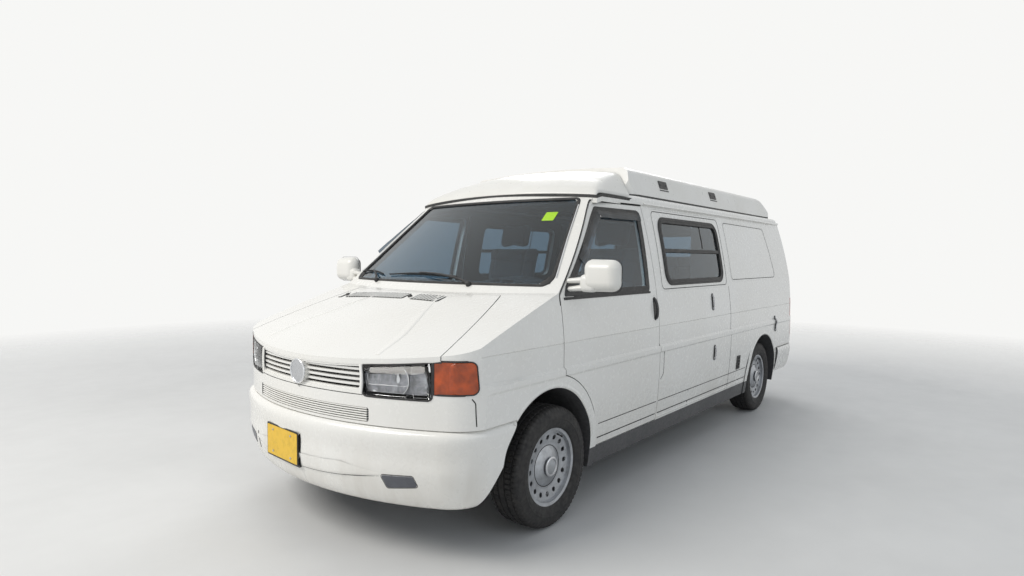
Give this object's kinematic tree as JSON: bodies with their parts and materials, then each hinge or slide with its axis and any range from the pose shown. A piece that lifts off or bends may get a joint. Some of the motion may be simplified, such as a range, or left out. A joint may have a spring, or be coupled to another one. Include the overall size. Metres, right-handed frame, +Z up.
{
  "type": "camper van with a lifting roof",
  "caption": "Long-wheelbase family camper van in warm off-white, with a rear-hinged lifting roof, opening doors, bonnet and tailgate, steered front wheels and a fitted living space.",
  "frame": {"origin": "on the ground under the middle of the van", "axes": "-X forwards, -Y towards the driver's (left) side, +Z up"},
  "size_m": [5.1898, 2.301, 2.032],
  "materials": {
    "body_paint": "gloss warm off-white paint",
    "roof_shell_paint": "painted glass-fibre shell",
    "window_glass": "tinted safety glass",
    "lamp_glass": "clear lamp lens",
    "amber_lens": "amber lens",
    "red_lens": "red lens",
    "black_trim": "matt black plastic",
    "seal_rubber": "black rubber",
    "tyre_rubber": "road tyre",
    "wheel_paint": "silver painted steel",
    "chassis_steel": "black painted steel",
    "hub_iron": "bare cast iron",
    "engine_alloy": "dull cast alloy",
    "exhaust_steel": "dull steel",
    "tank_plastic": "moulded black plastic",
    "tent_fabric": "woven tent canvas",
    "seat_fabric": "woven seat cover",
    "dash_plastic": "grained plastic",
    "cabinet_board": "laminated board"
  },
  "bodies": {
    "body": {"body_shell": "body_paint", "windscreen": "window_glass", "front_bumper": "body_paint", "rear_bumper": "body_paint", "upper_grille": "body_paint", "lower_grille": "body_paint", "headlamps": "lamp_glass", "indicators": "amber_lens", "tail_lamps": "red_lens", "roof_fairing": "roof_shell_paint", "roof_seal": "seal_rubber", "tent_canvas": "tent_fabric", "sliding_door": "body_paint", "side_windows": "window_glass", "floor_pan": "chassis_steel", "front_subframe": "chassis_steel", "rear_axle": "chassis_steel", "engine_block": "engine_alloy", "driveshafts": "hub_iron", "radiator": "engine_alloy", "fuel_tank": "tank_plastic", "exhaust": "exhaust_steel", "dashboard": "dash_plastic", "steering_wheel": "black_trim", "seat_frames": "chassis_steel", "front_seats": "seat_fabric", "rear_bench": "seat_fabric", "kitchen_cabinet": "cabinet_board"},
    "bonnet": {"bonnet": "body_paint"},
    "pop_top": {"pop_top": "roof_shell_paint"},
    "tailgate": {"tailgate": "body_paint", "tailgate_glass": "window_glass"},
    "door_left": {"door_left": "body_paint", "door_glass_left": "window_glass", "mirror_left": "body_paint"},
    "knuckle_left": {"knuckle_left": "hub_iron"},
    "wheel_front_left": {"rim_front_left": "wheel_paint", "tyre_front_left": "tyre_rubber"},
    "wheel_rear_left": {"rim_rear_left": "wheel_paint", "tyre_rear_left": "tyre_rubber"},
    "door_right": {"door_right": "body_paint", "door_glass_right": "window_glass", "mirror_right": "body_paint"},
    "knuckle_right": {"knuckle_right": "hub_iron"},
    "wheel_front_right": {"rim_front_right": "wheel_paint", "tyre_front_right": "tyre_rubber"},
    "wheel_rear_right": {"rim_rear_right": "wheel_paint", "tyre_rear_right": "tyre_rubber"}
  },
  "joints": [
    {"name": "steer_left", "type": "hinge", "parent": "body", "child": "knuckle_left", "pos_m": [-1.6645, -0.7945, 0.316], "axis": [0, 0, 1], "range_deg": [-35, 35]},
    {"name": "spin_front_left", "type": "hinge", "parent": "knuckle_left", "child": "wheel_front_left", "pos_m": [-1.6645, -0.7945, 0.316], "axis": [0, 1, 0], "continuous": true},
    {"name": "spin_rear_left", "type": "hinge", "parent": "body", "child": "wheel_rear_left", "pos_m": [1.6555, -0.777, 0.316], "axis": [0, 1, 0], "continuous": true},
    {"name": "open_door_left", "type": "hinge", "parent": "body", "child": "door_left", "pos_m": [-1.607, -0.924, 1], "axis": [0, 0, -1], "range_deg": [0, 70]},
    {"name": "steer_right", "type": "hinge", "parent": "body", "child": "knuckle_right", "pos_m": [-1.6645, 0.7945, 0.316], "axis": [0, 0, 1], "range_deg": [-35, 35]},
    {"name": "spin_front_right", "type": "hinge", "parent": "knuckle_right", "child": "wheel_front_right", "pos_m": [-1.6645, 0.7945, 0.316], "axis": [0, 1, 0], "continuous": true},
    {"name": "spin_rear_right", "type": "hinge", "parent": "body", "child": "wheel_rear_right", "pos_m": [1.6555, 0.777, 0.316], "axis": [0, 1, 0], "continuous": true},
    {"name": "open_door_right", "type": "hinge", "parent": "body", "child": "door_right", "pos_m": [-1.607, 0.924, 1], "axis": [0, 0, 1], "range_deg": [0, 70]},
    {"name": "lift_bonnet", "type": "hinge", "parent": "body", "child": "bonnet", "pos_m": [-1.7425, 0, 1.199], "axis": [0, 1, 0], "range_deg": [0, 50]},
    {"name": "lift_tailgate", "type": "hinge", "parent": "body", "child": "tailgate", "pos_m": [2.4475, 0, 1.76], "axis": [0, -1, 0], "range_deg": [0, 88]},
    {"name": "lift_roof", "type": "hinge", "parent": "body", "child": "pop_top", "pos_m": [2.4275, 0, 1.822], "axis": [0, 1, 0], "range_deg": [0, 20]}
  ],
  "couplings": [
    {"joint": "steer_right", "follows": "steer_left", "ratio": 1}
  ]
}
